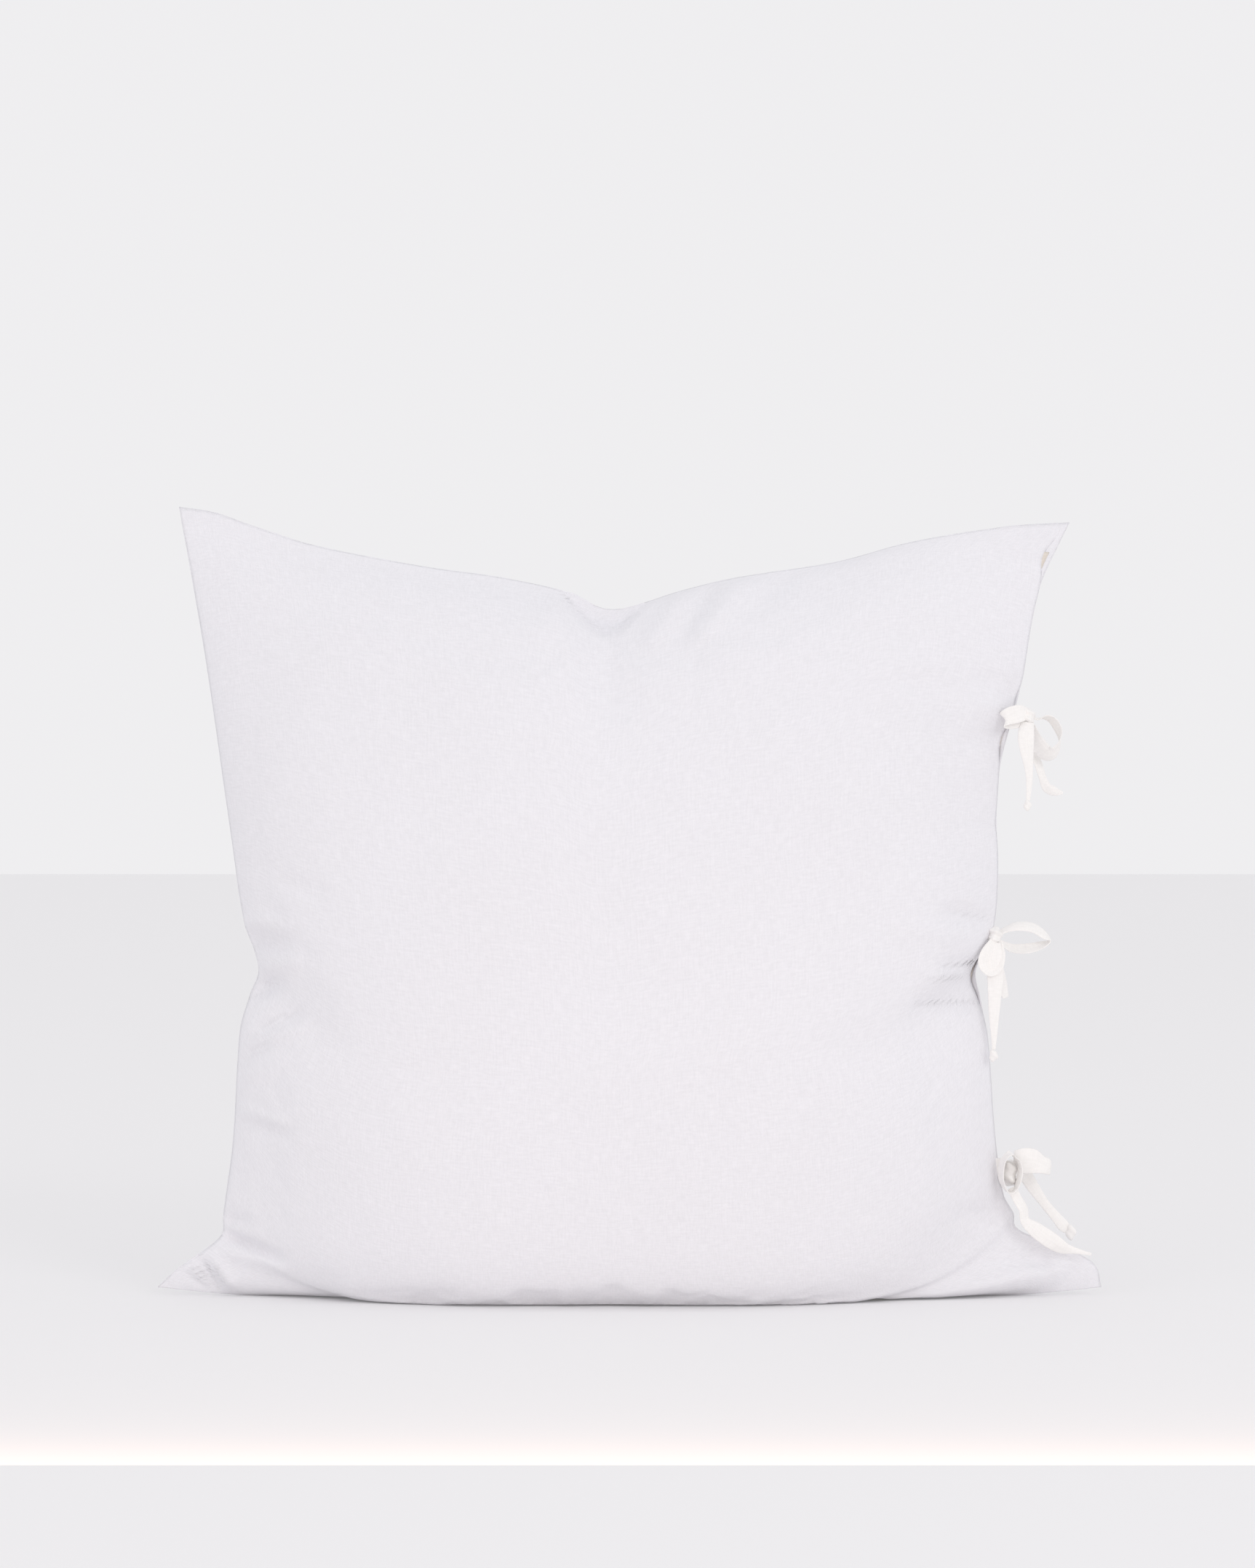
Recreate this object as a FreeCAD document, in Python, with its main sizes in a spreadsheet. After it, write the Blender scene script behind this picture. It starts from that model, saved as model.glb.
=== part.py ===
"""Floor cushion: a square linen cover, tied shut down one side with three cloth bows,
over a separate stuffed pad.  It stands on its bottom seam.

Frame: millimetres, +X towards the tied side, -Y the front, +Z up.
Origin: middle of the bottom seam, on the floor.
"""
import FreeCAD, Part
import math
import os
import Sketcher
from FreeCAD import Placement, Rotation, Vector

doc = FreeCAD.newDocument("floor_cushion")

# ------------------------------------------------------------------ driving dimensions
DIMENSIONS = [
    # the cover's outline, seen from the front
    ("half_width", 333, "corner tips at the floor, each side of the middle"),
    ("left_tip_height", 556, "upper left corner tip above the floor"),
    ("right_tip_height", 545, "upper right corner tip above the floor"),
    ("crown_dip", 66, "how far the top seam sags below the mean of its tips"),
    ("foot_tip_lift", 8, "lower corner tips above the floor"),
    ("ear_height", 14, "height of a bottom corner's ear above its tip"),
    ("foot_sag", 12, "how far the bottom seam would hang below the floor if it could"),
    ("left_crown_pull", 15, "upper left tip, drawn in from the lower one"),
    ("left_shoulder_pull", 33, "left side drawn in at the shoulder"),
    ("left_chest_pull", 49, "left side drawn in above the waist"),
    ("left_waist_pull", 71, "left side drawn in at the waist"),
    ("left_belly_pull", 56, "left side drawn in below the waist"),
    ("left_hip_pull", 46, "left side drawn in above the lower ear"),
    ("right_crown_pull", 23, "upper right tip, drawn in from the lower one"),
    ("right_shoulder_pull", 55, "right side drawn in at the shoulder"),
    ("right_chest_pull", 71, "right side drawn in above the waist"),
    ("right_waist_pull", 89, "right side drawn in at the waist"),
    ("right_belly_pull", 78, "right side drawn in below the waist"),
    ("right_hip_pull", 72, "right side drawn in above the lower ear"),
    ("ear_pull", 22, "both sides drawn in just above the lower tips"),
    # how far the front and back stand out from the seam plane
    ("foot_depth", 74, "half depth of the foot the cushion stands on"),
    ("hip_depth", 100, "half depth just above the foot"),
    ("belly_depth", 101, "half depth at the fullest height"),
    ("waist_depth", 97, "half depth at the waist"),
    ("chest_depth", 84, "half depth above the waist"),
    ("shoulder_depth", 60, "half depth below the top seam"),
    # cloth, seams and the pad inside
    ("cloth", 1.0, "thickness of the cover's cloth"),
    ("panel_gap", 3.2, "between the two panels at the seam plane"),
    ("seam_rim", 6, "edge of a panel pressed flat against the seam"),
    ("seam_width", 6, "trimmed allowance of the left seam; half this at top and bottom"),
    ("hem_width", 24, "turned-in width of the hems at the opening"),
    ("hem_thickness", 0.8, "thickness of a pressed hem"),
    ("ease", 0.1, "clearance between layers of cloth"),
    ("pad_ease", 2.3, "clearance between the pad and the cover"),
    ("pad_clearance", 14, "pad's seam inside the cover's seam"),
    # the ties
    ("tape_width", 12, "width of the tie tape"),
    ("tape_thickness", 1.0, "thickness of the folded tie tape"),
    ("strap_thickness", 0.5, "thickness of the sewn end of a tape, pressed flat"),
    ("strap_tuck", 5, "length of tape tucked into the opening"),
    ("knot_gap", 1.0, "between a knot and the cover's edge"),
    ("knot_radius", 6.5, "knot seen from the front"),
    ("knot_half_depth", 14, "knot from its middle towards the front or back"),
    ("knot_clearance", 0.6, "between a knot and the loops and tails that swing on it"),
    ("loop_root", 2.5, "radius of a loop's near end, at the knot"),
    ("loop_width", 10, "width of tape in a loop"),
    ("loop_layer", 6, "middle of a loop, in front of or behind the seam plane"),
    ("tail_layer", 13, "middle of a tail, in front of or behind the seam plane"),
    ("tail_root_width", 6, "width of a tail where it leaves the knot"),
    ("tail_end_width", 7.5, "width of a tail where its end knot starts"),
    ("tail_knot_radius", 4.5, "overhand knot at the end of a tail"),
    ("upper_tie_height", 408, "upper knot above the floor"),
    ("middle_tie_height", 254, "middle knot above the floor"),
    ("lower_tie_height", 91, "lower knot above the floor"),
]
# Each tie's loops and tails: length from the knot's centre, and the angle at which it
# hangs, from straight down towards +X; a loop also has the radius of its far end.
TIE_PIECES = {
    "upper": {
        "front_loop": {"length": 24, "angle": -6, "bulge": 4.5},
        "back_loop": {"length": 34, "angle": 50, "bulge": 10},
        "front_tail": {"length": 64, "angle": 2},
        "back_tail": {"length": 60, "angle": 28},
    },
    "middle": {
        "front_loop": {"length": 28, "angle": 4, "bulge": 5},
        "back_loop": {"length": 39, "angle": 87, "bulge": 6},
        "front_tail": {"length": 82, "angle": -2},
        "back_tail": {"length": 54, "angle": 10},
    },
    "lower": {
        "front_loop": {"length": 23, "angle": 30, "bulge": 5},
        "back_loop": {"length": 30, "angle": 85, "bulge": 8},
        "front_tail": {"length": 70, "angle": 38},
        "back_tail": {"length": 66, "angle": 46},
    },
}
for tie, pieces in TIE_PIECES.items():
    for piece, measures in pieces.items():
        for measure, value in measures.items():
            DIMENSIONS.append((f"{tie}_{piece}_{measure}", value, f"{tie} {piece}, {measure}"))

sheet = doc.addObject("Spreadsheet::Sheet", "Sizes")
for line, (alias, value, meaning) in enumerate(DIMENSIONS, start=1):
    sheet.set(f"A{line}", meaning)
    sheet.set(f"B{line}", str(value))
    sheet.setAlias(f"B{line}", alias)
doc.recompute()


def size(alias):
    return float(sheet.get(alias))


# ------------------------------------------------------------------ the padded form
# Eight stations from the bottom seam to the top seam.  Each is a row across the cushion:
# its heights at the middle and at the left and right ends, how far its ends are drawn in
# from the corner tips, and its half depth.  The middle and the ends stand at different
# heights, because the bottom corners turn up into ears and the top seam sags.
EAR_LIFT_POWER = 3.0
CROWN_POWER = 1.3
COLUMNS = [-1.0, -0.8, -0.45, 0.0, 0.45, 0.8, 1.0]
FULLNESS = [0.0, 0.55, 0.9, 1.0, 0.9, 0.55, 0.0]
DEGREE = 3
# A tail's tape ends this many knot radii short of its tip, inside the end knot.
TAIL_END_RADII = 1.4
CUTTER_REACH = 1000.0


def stations():
    crown = (size("left_tip_height") + size("right_tip_height")) / 2 - size("crown_dip")
    lift = size("foot_tip_lift")
    left_tip = size("left_tip_height")
    right_tip = size("right_tip_height")
    rows = [
        # middle, left end and right end heights; pulls; half depth
        (-size("foot_sag"), lift, lift, 0, 0, 0),
        (-size("foot_sag") / 2, lift + size("ear_height"), lift + size("ear_height"),
         size("ear_pull"), size("ear_pull"), size("foot_depth")),
        (0.08 * crown, 0.10 * left_tip, 0.10 * right_tip, size("left_hip_pull"),
         size("right_hip_pull"), size("hip_depth")),
        (0.28 * crown, 0.25 * left_tip, 0.25 * right_tip, size("left_belly_pull"),
         size("right_belly_pull"), size("belly_depth")),
        (0.48 * crown, 0.42 * left_tip, 0.43 * right_tip, size("left_waist_pull"),
         size("right_waist_pull"), size("waist_depth")),
        (0.68 * crown, 0.62 * left_tip, 0.63 * right_tip, size("left_chest_pull"),
         size("right_chest_pull"), size("chest_depth")),
        (0.87 * crown, 0.82 * left_tip, 0.82 * right_tip, size("left_shoulder_pull"),
         size("right_shoulder_pull"), size("shoulder_depth")),
        (crown, left_tip, right_tip, size("left_crown_pull"), size("right_crown_pull"), 0),
    ]
    return rows


def form_points(side, plane, left, right, top, bottom, skin):
    """Grid of points on one face of the cushion: side -1 is the front, +1 the back.
    The rim lies in the plane y = plane.  left, right, top and bottom draw the rim in,
    and skin draws the face in."""
    rows = stations()
    last = len(rows) - 1
    grid = []
    for number, (middle, left_end, right_end, left_pull, right_pull, depth) in enumerate(rows):
        share = number / last
        draw = bottom * (1 - share) - top * share
        power = EAR_LIFT_POWER if number < 3 else CROWN_POWER
        points = []
        for column, full in zip(COLUMNS, FULLNESS):
            end = left_end if column < 0 else right_end
            reach = size("half_width") - (left_pull + left if column < 0 else right_pull + right)
            height = middle + (end - middle) * abs(column) ** power + draw
            inside = 0 < number < last and abs(column) < 1
            out = side * (depth * full - skin) if inside else plane
            points.append(Vector(column * reach, out, height))
        grid.append(points)
    return grid


def clamped(count):
    """Knots and multiplicities of a cubic that starts and ends on its outer poles."""
    spans = count - DEGREE
    knots = [float(knot) for knot in range(spans + 1)]
    multiplicities = [DEGREE + 1] + [1] * (spans - 1) + [DEGREE + 1]
    return knots, multiplicities


def form_face(side, plane, left=0.0, right=0.0, top=0.0, bottom=0.0, skin=0.0):
    poles = form_points(side, plane, left, right, top, bottom, skin)
    row_knots, row_counts = clamped(len(poles))
    column_knots, column_counts = clamped(len(poles[0]))
    surface = Part.BSplineSurface()
    surface.buildFromPolesMultsKnots(poles, row_counts, column_counts, row_knots,
                                     column_knots, False, False, DEGREE, DEGREE)
    return surface.toShape()


def flat_face(rim_of):
    """Planar face bounded by the rim of a bulging face."""
    wire = Part.Wire(Part.__sortEdges__(rim_of.Edges))
    return Part.Face(wire)


def half_form(side, plane, **draws):
    bulge = form_face(side, plane, **draws)
    shell = Part.Shell([bulge, flat_face(bulge)])
    shell.sewShape()
    solid = Part.Solid(shell)
    if solid.Volume < 0:
        solid.reverse()
    return solid


def above(height):
    reach = CUTTER_REACH
    return Part.makeBox(2 * reach, 2 * reach, reach, Vector(-reach, -reach, height))


def inward(rim, skin):
    """Draws for a form nested inside the cover: rim at the sides, skin elsewhere."""
    return {"left": rim, "right": rim, "top": rim, "bottom": skin, "skin": skin}


nodes = {}


def keep(name, shape):
    """A sub-part whose free form is made by Part's own functions."""
    feature = doc.addObject("Part::Feature", name)
    feature.Label = name
    feature.Shape = shape.Solids[0] if len(shape.Solids) == 1 else shape
    feature.Placement = Placement()
    nodes[name] = feature


# ------------------------------------------------------------------ cover panels
# Two panels of plain-weave linen.  Each is a bowl with a flat rim along the seam plane
# and a flat foot on the floor.
def bowl(side, plane, floor, rim, thickness, outside):
    """One half of a sewn bag: a face with a flat rim in the plane y = plane and a flat
    foot at z = floor.  outside holds the draws of its outer face."""
    inside = dict(outside)
    for edge in ("left", "right", "top"):
        inside[edge] += rim
    inside["bottom"] += thickness
    inside["skin"] += thickness
    outer = half_form(side, plane, **outside).common(above(floor))
    return outer.cut(half_form(side, plane, **inside).common(above(floor + thickness)))


def panel(side):
    plane = side * size("panel_gap") / 2
    return bowl(side, plane, 0, size("seam_rim"), size("cloth"), inward(0, 0))


keep("front_panel", panel(-1))
keep("back_panel", panel(+1))


# ------------------------------------------------------------------ seams and hems
# Between the two panels lie the turned-in edges.  Along the top, the left side and the
# bottom they are sewn together as a seam.  Along the right side each panel has a
# pressed hem of its own, and the space between the two hems is the opening.
def wedge(first, second):
    """Everything seen from the cushion's middle between two corner tips."""
    middle = Vector(0, 0, size("left_tip_height") / 2)
    ends = [middle + (tip - middle) * 2 for tip in (first, second)]
    triangle = Part.Face(Part.makePolygon([middle, ends[0], ends[1], middle]))
    reach = size("panel_gap")
    return triangle.extrude(Vector(0, 2 * reach, 0)).translated(Vector(0, -reach, 0))


def corner_tips():
    half = size("half_width")
    return {
        "lower_left": Vector(-half, 0, size("foot_tip_lift")),
        "lower_right": Vector(half, 0, size("foot_tip_lift")),
        "upper_left": Vector(size("left_crown_pull") - half, 0, size("left_tip_height")),
        "upper_right": Vector(half - size("right_crown_pull"), 0, size("right_tip_height")),
    }


def outline_plate(near, far, inset):
    """The cover's outline as a plate from y = near to y = far, drawn in by inset along
    the cushion and half as much up and down, which keeps its corners inside the tips."""
    rise = inset / 2
    rim = flat_face(form_face(-1, near, left=inset, right=inset, top=rise, bottom=rise))
    return rim.extrude(Vector(0, far - near, 0)).common(above(rise))


def edge_strip(first, second, width, near, far):
    """A flat strip along one edge of the cover, from y = near to y = far."""
    through = size("panel_gap")
    band = outline_plate(near, far, 0).cut(outline_plate(-through, through, width))
    tips = corner_tips()
    return band.common(wedge(tips[first], tips[second]))


seam_half = size("panel_gap") / 2 - size("ease")
SEAMS = {
    "top_seam": ("upper_left", "upper_right"),
    "left_seam": ("lower_left", "upper_left"),
    "bottom_seam": ("lower_left", "lower_right"),
}
for name, (first, second) in SEAMS.items():
    keep(name, edge_strip(first, second, size("seam_width"), -seam_half, seam_half))
for name, side in (("front_opening_hem", -1), ("back_opening_hem", +1)):
    layers = sorted((side * seam_half, side * (seam_half - size("hem_thickness"))))
    keep(name, edge_strip("lower_right", "upper_right", size("hem_width"), *layers))


# ------------------------------------------------------------------ the pad inside
# A plain casing sewn from two panels, and its loose filling.
def pad_draws(inset):
    """Draws of the pad's form, taken in by inset from the outside of its casing."""
    skin = size("cloth") + size("pad_ease") + inset
    draws = inward(size("pad_clearance") + inset, skin)
    draws["right"] = size("hem_width") + size("pad_ease") + inset
    return draws


def pad_panel(side):
    outside = pad_draws(0)
    plane = side * size("ease")
    return bowl(side, plane, outside["skin"], size("cloth"), size("cloth"), outside)


def pad_filling():
    inside = pad_draws(size("cloth") + size("ease"))
    halves = [half_form(side, 0, **inside) for side in (-1, +1)]
    return halves[0].fuse(halves[1]).common(above(inside["skin"]))


keep("pad_front_casing", pad_panel(-1))
keep("pad_back_casing", pad_panel(+1))
keep("pad_filling", pad_filling())


# ------------------------------------------------------------------ the ties
# Three pairs of cloth tapes, one of each pair sewn inside the front hem and the other
# inside the back hem, tied in a bow outside the opening.
def right_edge(height):
    """How far the tied side reaches at a height above the floor."""
    surface = form_face(-1, 0).Surface
    edge = surface.vIso(surface.bounds()[3])
    low, high = edge.FirstParameter, edge.LastParameter
    for _ in range(60):
        middle = (low + high) / 2
        if edge.value(middle).z < height:
            low = middle
        else:
            high = middle
    return edge.value(low).x


def keep_solid(name, feature):
    feature.Label = name
    nodes[name] = feature


def knot(tie, centre):
    """The knot: a soft ball of tape lying across the opening."""
    ball = doc.addObject("Part::Ellipsoid", f"{tie}_knot")
    ball.setExpression("Radius1", "Sizes.knot_radius")
    ball.setExpression("Radius2", "Sizes.knot_radius")
    ball.setExpression("Radius3", "Sizes.knot_half_depth")
    ball.Placement = Placement(centre, Rotation())
    keep_solid(f"{tie}_tie_knot", ball)
    return ball


def strap(tie, side, edge, centre, ball):
    """The sewn end of a tape, from inside the opening out to the knot."""
    word = "front" if side < 0 else "back"
    tape = doc.addObject("Part::Box", f"{tie}_{word}_tape")
    tape.setExpression("Length", "Sizes.strap_tuck + Sizes.knot_gap + Sizes.knot_radius / 2")
    tape.setExpression("Width", "Sizes.strap_thickness")
    tape.setExpression("Height", "Sizes.tape_width")
    near = size("ease") if side > 0 else -size("ease") - size("strap_thickness")
    start = Vector(edge - size("strap_tuck"), near, centre.z - size("tape_width") / 2)
    tape.Placement = Placement(start, Rotation())
    cut = doc.addObject("Part::Cut", f"{tie}_{word}_strap")
    cut.Base = tape
    cut.Tool = ball
    keep_solid(f"{tie}_tie_{word}_strap", cut)


def new_body(name, layer, centre, angle):
    """A body whose own +X runs from the knot's centre along the loop or tail."""
    body = doc.addObject("PartDesign::Body", name)
    place = centre + Vector(0, layer, 0)
    body.Placement = Placement(place, Rotation(Vector(0, 1, 0), 90 - angle))
    sketch = body.newObject("Sketcher::SketchObject", f"{name}_outline")
    planes = [plane for plane in body.Origin.OriginFeatures if plane.Role == "XZ_Plane"]
    sketch.AttachmentSupport = (planes[0], [""])
    sketch.MapMode = "FlatFace"
    return body, sketch


def bound(sketch, constraint, name, expression):
    number = sketch.addConstraint(constraint)
    sketch.renameConstraint(number, name)
    sketch.setExpression(f"Constraints.{name}", expression)


def tapered_ring(sketch, prefix, near, far, small, large, expressions):
    """Two arcs joined by tangent lines; near and far are the arcs' centres on X."""
    lean = math.asin((large - small) / (far - near))
    turn = math.pi / 2 + lean
    first = sketch.GeometryCount

    def arc(centre, radius, start, end):
        circle = Part.Circle(Vector(centre, 0, 0), Vector(0, 0, 1), radius)
        return sketch.addGeometry(Part.ArcOfCircle(circle, start, end), False)

    def on(centre, radius, direction):
        return Vector(centre + radius * math.cos(direction), radius * math.sin(direction), 0)

    end_arc = arc(far, large, -turn, turn)
    root_arc = arc(near, small, turn, 2 * math.pi - turn)
    upper = sketch.addGeometry(
        Part.LineSegment(on(far, large, turn), on(near, small, turn)), False)
    lower = sketch.addGeometry(
        Part.LineSegment(on(near, small, -turn), on(far, large, -turn)), False)
    assert first == end_arc
    sketch.addConstraint(Sketcher.Constraint("Tangent", end_arc, 2, upper, 1))
    sketch.addConstraint(Sketcher.Constraint("Tangent", upper, 2, root_arc, 1))
    sketch.addConstraint(Sketcher.Constraint("Tangent", root_arc, 2, lower, 1))
    sketch.addConstraint(Sketcher.Constraint("Tangent", lower, 2, end_arc, 1))
    sketch.addConstraint(Sketcher.Constraint("PointOnObject", end_arc, 3, -1))
    sketch.addConstraint(Sketcher.Constraint("PointOnObject", root_arc, 3, -1))
    bound(sketch, Sketcher.Constraint("Radius", end_arc, large), prefix + "Bulge",
          expressions["large"])
    bound(sketch, Sketcher.Constraint("Radius", root_arc, small), prefix + "Root",
          expressions["small"])
    bound(sketch, Sketcher.Constraint("DistanceX", -1, 1, end_arc, 3, far), prefix + "Far",
          expressions["far"])
    bound(sketch, Sketcher.Constraint("DistanceX", -1, 1, root_arc, 3, near), prefix + "Near",
          expressions["near"])


def pad_both_ways(body, sketch, name, expression):
    slab = body.newObject("PartDesign::Pad", name)
    slab.Profile = sketch
    slab.setExpression("Length", expression)
    slab.SideType = "Symmetric"
    body.Tip = slab


def loop(tie, word, side, centre):
    """A loop of tape standing out of the knot, open through from front to back."""
    key = f"{tie}_{word}_loop"
    name = f"{tie}_tie_{word}_loop"
    body, sketch = new_body(name, side * size("loop_layer"), centre, size(f"{key}_angle"))
    thickness = size("tape_thickness")
    small = size("loop_root")
    large = size(f"{key}_bulge")
    near = size("knot_radius") + size("knot_clearance") + small
    far = size(f"{key}_length") - large
    centres = {
        "near": "Sizes.knot_radius + Sizes.knot_clearance + Sizes.loop_root",
        "far": f"Sizes.{key}_length - Sizes.{key}_bulge",
    }
    tapered_ring(sketch, "Outer", near, far, small, large, {
        "large": f"Sizes.{key}_bulge",
        "small": "Sizes.loop_root",
        **centres})
    tapered_ring(sketch, "Inner", near, far, small - thickness, large - thickness, {
        "large": f"Sizes.{key}_bulge - Sizes.tape_thickness",
        "small": "Sizes.loop_root - Sizes.tape_thickness",
        **centres})
    pad_both_ways(body, sketch, f"{name}_tape", "Sizes.loop_width")
    keep_solid(name, body)


def tail(tie, word, side, centre):
    """A free end of tape: a flat strip that widens from the knot, tied off at its end."""
    key = f"{tie}_{word}_tail"
    name = f"{tie}_tie_{word}_tail"
    body, sketch = new_body(name, side * size("tail_layer"), centre, size(f"{key}_angle"))
    near = size("knot_radius") + size("knot_clearance")
    far = size(f"{key}_length") - TAIL_END_RADII * size("tail_knot_radius")
    root = size("tail_root_width") / 2
    end = size("tail_end_width") / 2
    corners = [Vector(near, -root, 0), Vector(far, -end, 0), Vector(far, end, 0),
               Vector(near, root, 0)]
    for first, second in zip(corners, corners[1:] + corners[:1]):
        sketch.addGeometry(Part.LineSegment(first, second), False)
    for line in range(4):
        sketch.addConstraint(Sketcher.Constraint("Coincident", line, 2, (line + 1) % 4, 1))
    sketch.addConstraint(Sketcher.Constraint("Symmetric", 0, 2, 1, 2, -1))
    sketch.addConstraint(Sketcher.Constraint("Symmetric", 3, 1, 3, 2, -1))
    bound(sketch, Sketcher.Constraint("DistanceX", -1, 1, 0, 1, near), "Near",
          "Sizes.knot_radius + Sizes.knot_clearance")
    bound(sketch, Sketcher.Constraint("DistanceX", -1, 1, 1, 1, far), "Far",
          f"Sizes.{key}_length - {TAIL_END_RADII} * Sizes.tail_knot_radius")
    bound(sketch, Sketcher.Constraint("Distance", 3, 2 * root), "RootWidth",
          "Sizes.tail_root_width")
    bound(sketch, Sketcher.Constraint("Distance", 1, 2 * end), "EndWidth",
          "Sizes.tail_end_width")
    pad_both_ways(body, sketch, f"{name}_tape", "Sizes.tape_thickness")
    end_knot = doc.addObject("Part::Sphere", f"{name}_end_knot")
    end_knot.setExpression("Radius", "Sizes.tail_knot_radius")
    last = size(f"{key}_length") - size("tail_knot_radius")
    end_knot.Placement = body.Placement * Placement(Vector(last, 0, 0), Rotation())
    joined = doc.addObject("Part::Fuse", f"{name}_joined")
    joined.Base = body
    joined.Tool = end_knot
    keep_solid(name, joined)


for tie in TIE_PIECES:
    height = size(f"{tie}_tie_height")
    edge = right_edge(height)
    centre = Vector(edge + size("knot_gap") + size("knot_radius"), 0, height)
    ball = knot(tie, centre)
    for word, side in (("front", -1), ("back", +1)):
        strap(tie, side, edge, centre, ball)
        loop(tie, word, side, centre)
        tail(tie, word, side, centre)


# ------------------------------------------------------------------ check and write
doc.recompute()
for part_object in doc.Objects:
    faults = [state for state in part_object.State if state in ("Invalid", "Error")]
    if faults:
        raise RuntimeError(f"{part_object.Label} did not recompute: {faults}")
for name, feature in nodes.items():
    shape = feature.Shape
    if shape.isNull() or not shape.isValid() or len(shape.Solids) != 1:
        raise RuntimeError(f"{name} is not one valid solid")

os.makedirs("parts", exist_ok=True)
for name, feature in nodes.items():
    feature.Shape.exportStep(os.path.join("parts", f"{name}.step"))
    box = feature.Shape.optimalBoundingBox(False)
    print(f"{name}: {feature.Shape.Volume / 1000:.2f} cm3, "
          f"x {box.XMin:.1f}..{box.XMax:.1f}, y {box.YMin:.1f}..{box.YMax:.1f}, "
          f"z {box.ZMin:.1f}..{box.ZMax:.1f}")
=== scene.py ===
import math
import bpy
import bmesh
from mathutils import Matrix, Vector, noise


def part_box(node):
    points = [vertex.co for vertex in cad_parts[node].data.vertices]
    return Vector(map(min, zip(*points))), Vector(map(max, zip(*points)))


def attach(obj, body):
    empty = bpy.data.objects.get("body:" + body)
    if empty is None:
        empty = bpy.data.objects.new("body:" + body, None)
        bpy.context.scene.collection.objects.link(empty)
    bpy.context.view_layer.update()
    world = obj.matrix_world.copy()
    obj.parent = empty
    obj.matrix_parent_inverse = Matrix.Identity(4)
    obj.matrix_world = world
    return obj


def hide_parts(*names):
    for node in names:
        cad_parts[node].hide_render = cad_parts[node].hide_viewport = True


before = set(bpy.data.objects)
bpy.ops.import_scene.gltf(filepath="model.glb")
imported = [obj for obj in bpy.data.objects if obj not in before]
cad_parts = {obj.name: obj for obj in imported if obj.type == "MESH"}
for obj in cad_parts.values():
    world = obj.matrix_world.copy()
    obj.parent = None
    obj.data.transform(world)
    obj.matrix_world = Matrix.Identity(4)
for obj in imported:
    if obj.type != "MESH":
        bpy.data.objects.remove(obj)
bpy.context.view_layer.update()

MM = 0.001


# ---------------------------------------------------------------- camera, floor, light
# A level camera at cushion height and a wide pale floor in an even, bright room.  A large
# soft light from the upper right and a weaker one from the left give the form, and a low
# warm strip stands for light thrown back by the floor.
EYE_HEIGHT = 0.3605
EYE_DISTANCE = 3.0
VIEW_HEIGHT = 1.1056

camera_data = bpy.data.cameras.new("camera")
camera_data.sensor_fit = "VERTICAL"
camera_data.angle_y = 2 * math.atan(VIEW_HEIGHT / 2 / EYE_DISTANCE)
camera = bpy.data.objects.new("camera", camera_data)
camera.location = (-0.002, -EYE_DISTANCE, EYE_HEIGHT)
camera.rotation_euler = (math.radians(90), 0, 0)
bpy.context.collection.objects.link(camera)
bpy.context.scene.camera = camera

FLOOR_HALF = 14
FLOOR_COLOUR = (0.850, 0.845, 0.852)
FLOOR_GLOW = 0.055
shape = bmesh.new()
bmesh.ops.create_grid(shape, x_segments=4, y_segments=4, size=FLOOR_HALF)
mesh = bpy.data.meshes.new("floor")
shape.to_mesh(mesh)
shape.free()
floor = bpy.data.objects.new("floor", mesh)
pale_floor = bpy.data.materials.new("pale floor")
pale_floor.use_nodes = True
floor_finish = pale_floor.node_tree.nodes["Principled BSDF"].inputs
floor_finish["Base Color"].default_value = (*FLOOR_COLOUR, 1)
floor_finish["Roughness"].default_value = 0.9
floor_finish["Emission Color"].default_value = (1, 1, 1, 1)
floor_finish["Emission Strength"].default_value = FLOOR_GLOW
floor.data.materials.append(pale_floor)
bpy.context.collection.objects.link(floor)


def soft_light(name, place, aim, width, height, watts, colour):
    data = bpy.data.lights.new(name, "AREA")
    data.shape = "RECTANGLE"
    data.size = width
    data.size_y = height
    data.energy = watts
    data.color = colour
    lamp = bpy.data.objects.new(name, data)
    lamp.location = place
    beam = Vector(aim) - Vector(place)
    lamp.rotation_euler = beam.to_track_quat("-Z", "Y").to_euler()
    bpy.context.collection.objects.link(lamp)


soft_light("window", (3.5, -4.9, 2.3), (0, 0, 0.25), 3.0, 3.0, 50, (1.0, 0.99, 0.98))
soft_light("fill", (-4.2, -5.0, 1.5), (0, 0, 0.25), 4.0, 4.0, 24, (1.0, 0.997, 1.0))
soft_light("floor bounce", (0, -0.75, 0.04), (0, 0, 0.07), 1.1, 0.10, 0.32,
           (1.0, 0.62, 0.42))

ROOM_COLOUR = (1.0, 0.992, 1.007)
ROOM_STRENGTH = 0.865
world = bpy.data.worlds.new("room")
world.use_nodes = True
backdrop = world.node_tree.nodes["Background"].inputs
backdrop["Color"].default_value = (*ROOM_COLOUR, 1)
backdrop["Strength"].default_value = ROOM_STRENGTH
bpy.context.scene.world = world
bpy.context.scene.view_settings.view_transform = "Standard"


# ---------------------------------------------------------------- the cover's form
# A square linen cover, slumped on its bottom seam.  The sewn edges draw in between the
# corner tips, the lower corners splay into ears on the floor, and the top sags.
def through(points, share):
    """A smooth curve through evenly timed points: Catmull-Rom."""
    last = len(points) - 1
    place = max(0.0, min(1.0, share)) * last
    step = min(int(place), last - 1)
    part = place - step
    near = [Vector(points[max(0, min(last, step + offset))]) for offset in (-1, 0, 1, 2)]
    before, start, end, after = near
    return 0.5 * (2 * start + (end - before) * part
                  + (2 * before - 5 * start + 4 * end - after) * part ** 2
                  + (3 * start - before - 3 * end + after) * part ** 3)


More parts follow.
